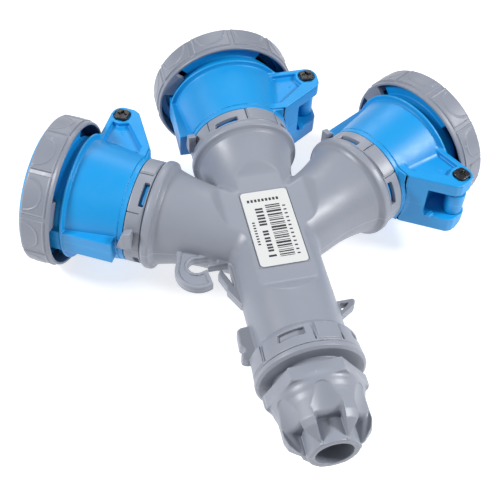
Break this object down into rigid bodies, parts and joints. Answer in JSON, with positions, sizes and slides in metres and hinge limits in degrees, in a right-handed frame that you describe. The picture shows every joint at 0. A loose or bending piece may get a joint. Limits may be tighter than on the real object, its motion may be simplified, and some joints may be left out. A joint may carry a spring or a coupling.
{
  "type": "cable socket splitter",
  "caption": "Hand-held power distributor: round hub with cable gland, screw-lock hinged-lid outlets fanned out in one plane and a hanging hook.",
  "frame": {"origin": "centre of the cable gland's mouth", "axes": "+Y from the gland along the trunk to the straight outlet, +Z out of the labelled face, +X to the right seen from above"},
  "size_m": [0.292, 0.2863, 0.092],
  "materials": {
    "grey_shell": "moulded polyamide, fine matt spark-eroded texture",
    "grey_ring": "moulded polyamide, satin with ribbed grip panels",
    "blue_shell": "moulded polyamide dyed azure blue, fine spark-eroded texture",
    "black_pin": "glass-filled black plastic",
    "black_rubber": "moulded elastomer",
    "spring_steel": "drawn spring wire",
    "cream_carrier": "moulded thermoset insulator",
    "brass_contact": "turned brass",
    "zinc_screw": "zinc plated steel",
    "wire_brown": "soft insulation",
    "wire_blue": "soft insulation",
    "wire_green_yellow": "soft insulation, green and yellow",
    "label_film": "satin printed film"
  },
  "bodies": {
    "base": {"housing": "grey_shell", "type_label": "label_film", "socket_left": "blue_shell", "socket_centre": "blue_shell", "socket_right": "blue_shell", "pin_left": "black_pin", "pin_centre": "black_pin", "pin_right": "black_pin", "spring_left": "spring_steel", "spring_centre": "spring_steel", "spring_right": "spring_steel", "collar_left": "grey_shell", "collar_centre": "grey_shell", "collar_right": "grey_shell", "neck_seal_left": "black_rubber", "neck_seal_centre": "black_rubber", "neck_seal_right": "black_rubber", "insert_left": "cream_carrier", "insert_centre": "cream_carrier", "insert_right": "cream_carrier", "sleeves_left": "cream_carrier", "sleeves_centre": "cream_carrier", "sleeves_right": "cream_carrier", "contacts_left": "brass_contact", "contacts_centre": "brass_contact", "contacts_right": "brass_contact", "screws_left": "zinc_screw", "screws_centre": "zinc_screw", "screws_right": "zinc_screw", "wires_line": "wire_brown", "wires_neutral": "wire_blue", "wires_earth": "wire_green_yellow", "terminal_block": "cream_carrier", "block_bars": "brass_contact", "block_screws": "zinc_screw", "gland_body": "grey_shell", "gland_o_ring": "black_rubber", "gland_seal": "black_rubber"},
    "lid_left_body": {"lid_left": "blue_shell", "gasket_left": "black_rubber"},
    "lid_centre_body": {"lid_centre": "blue_shell", "gasket_centre": "black_rubber"},
    "lid_right_body": {"lid_right": "blue_shell", "gasket_right": "black_rubber"},
    "ring_left_body": {"ring_left": "grey_ring"},
    "ring_centre_body": {"ring_centre": "grey_ring"},
    "ring_right_body": {"ring_right": "grey_ring"},
    "thrust_body": {"thrust_ring": "black_pin"},
    "nut_body": {"gland_nut": "grey_shell"}
  },
  "joints": [
    {"name": "lid_left_hinge", "type": "hinge", "parent": "base", "child": "lid_left_body", "pos_m": [-0.07243, 0.24096, 0], "axis": [0, 0, -1], "range_deg": [0, 105], "stiffness_Nm_per_rad": 0.02, "springref_deg": -68.75},
    {"name": "ring_left_turn", "type": "hinge", "parent": "lid_left_body", "child": "ring_left_body", "pos_m": [-0.11527, 0.2072, 0], "axis": [-0.8746, 0.4848, 0], "range_deg": [0, 34]},
    {"name": "lid_centre_hinge", "type": "hinge", "parent": "base", "child": "lid_centre_body", "pos_m": [0.0503, 0.254, 0], "axis": [0, 0, -1], "range_deg": [0, 105], "stiffness_Nm_per_rad": 0.02, "springref_deg": -68.75},
    {"name": "ring_centre_turn", "type": "hinge", "parent": "lid_centre_body", "child": "ring_centre_body", "pos_m": [0, 0.2751, 0], "axis": [0, 1, 0], "range_deg": [0, 34]},
    {"name": "lid_right_hinge", "type": "hinge", "parent": "base", "child": "lid_right_body", "pos_m": [0.12121, 0.15298, 0], "axis": [0, 0, -1], "range_deg": [0, 105], "stiffness_Nm_per_rad": 0.02, "springref_deg": -68.75},
    {"name": "ring_right_turn", "type": "hinge", "parent": "lid_right_body", "child": "ring_right_body", "pos_m": [0.11527, 0.2072, 0], "axis": [0.8746, 0.4848, 0], "range_deg": [0, 34]},
    {"name": "thrust_slide", "type": "slide", "parent": "base", "child": "thrust_body", "axis": [0, 1, 0], "range_m": [-0.003, 0.003]},
    {"name": "nut_turn", "type": "hinge", "parent": "thrust_body", "child": "nut_body", "pos_m": [0, 0.02, 0], "axis": [0, 1, 0], "range_deg": [-360, 360]}
  ],
  "couplings": [
    {"joint": "thrust_slide", "follows": "nut_turn", "m_per_rad": 0.00047746}
  ]
}
